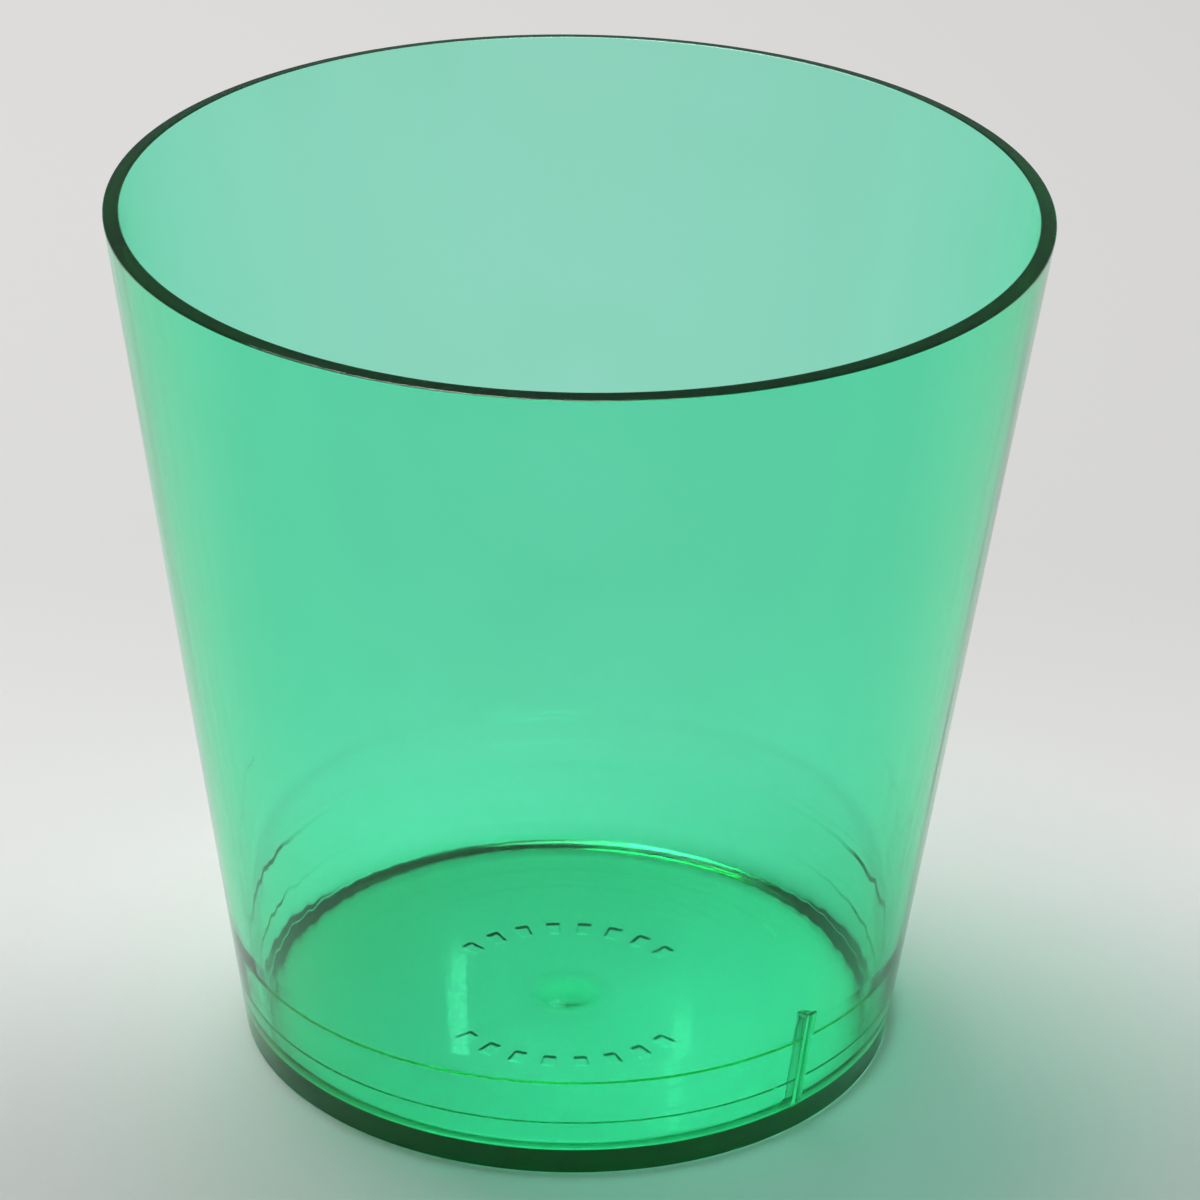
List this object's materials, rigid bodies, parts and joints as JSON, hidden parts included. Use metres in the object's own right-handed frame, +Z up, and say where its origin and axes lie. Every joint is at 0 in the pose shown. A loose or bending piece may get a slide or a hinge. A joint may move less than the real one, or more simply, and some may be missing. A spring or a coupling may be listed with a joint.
{
  "type": "florist bucket",
  "caption": "Round tapered open bucket in clear green moulded plastic, with a plain lip, a stepped foot and one upright rib inside it.",
  "frame": {"origin": "centre of the standing ring, on the surface the bucket stands on", "axes": "+Z up along the bucket's axis; +X and +Y level, with the inside rib half way between +X and -Y"},
  "size_m": [0.1298, 0.1298, 0.1265],
  "materials": {
    "clear_green_plastic": "clear tinted injection-moulded plastic, polished"
  },
  "bodies": {
    "root": {"side_wall": "clear_green_plastic", "foot_band": "clear_green_plastic", "floor": "clear_green_plastic", "inside_rib": "clear_green_plastic"}
  },
  "joints": []
}
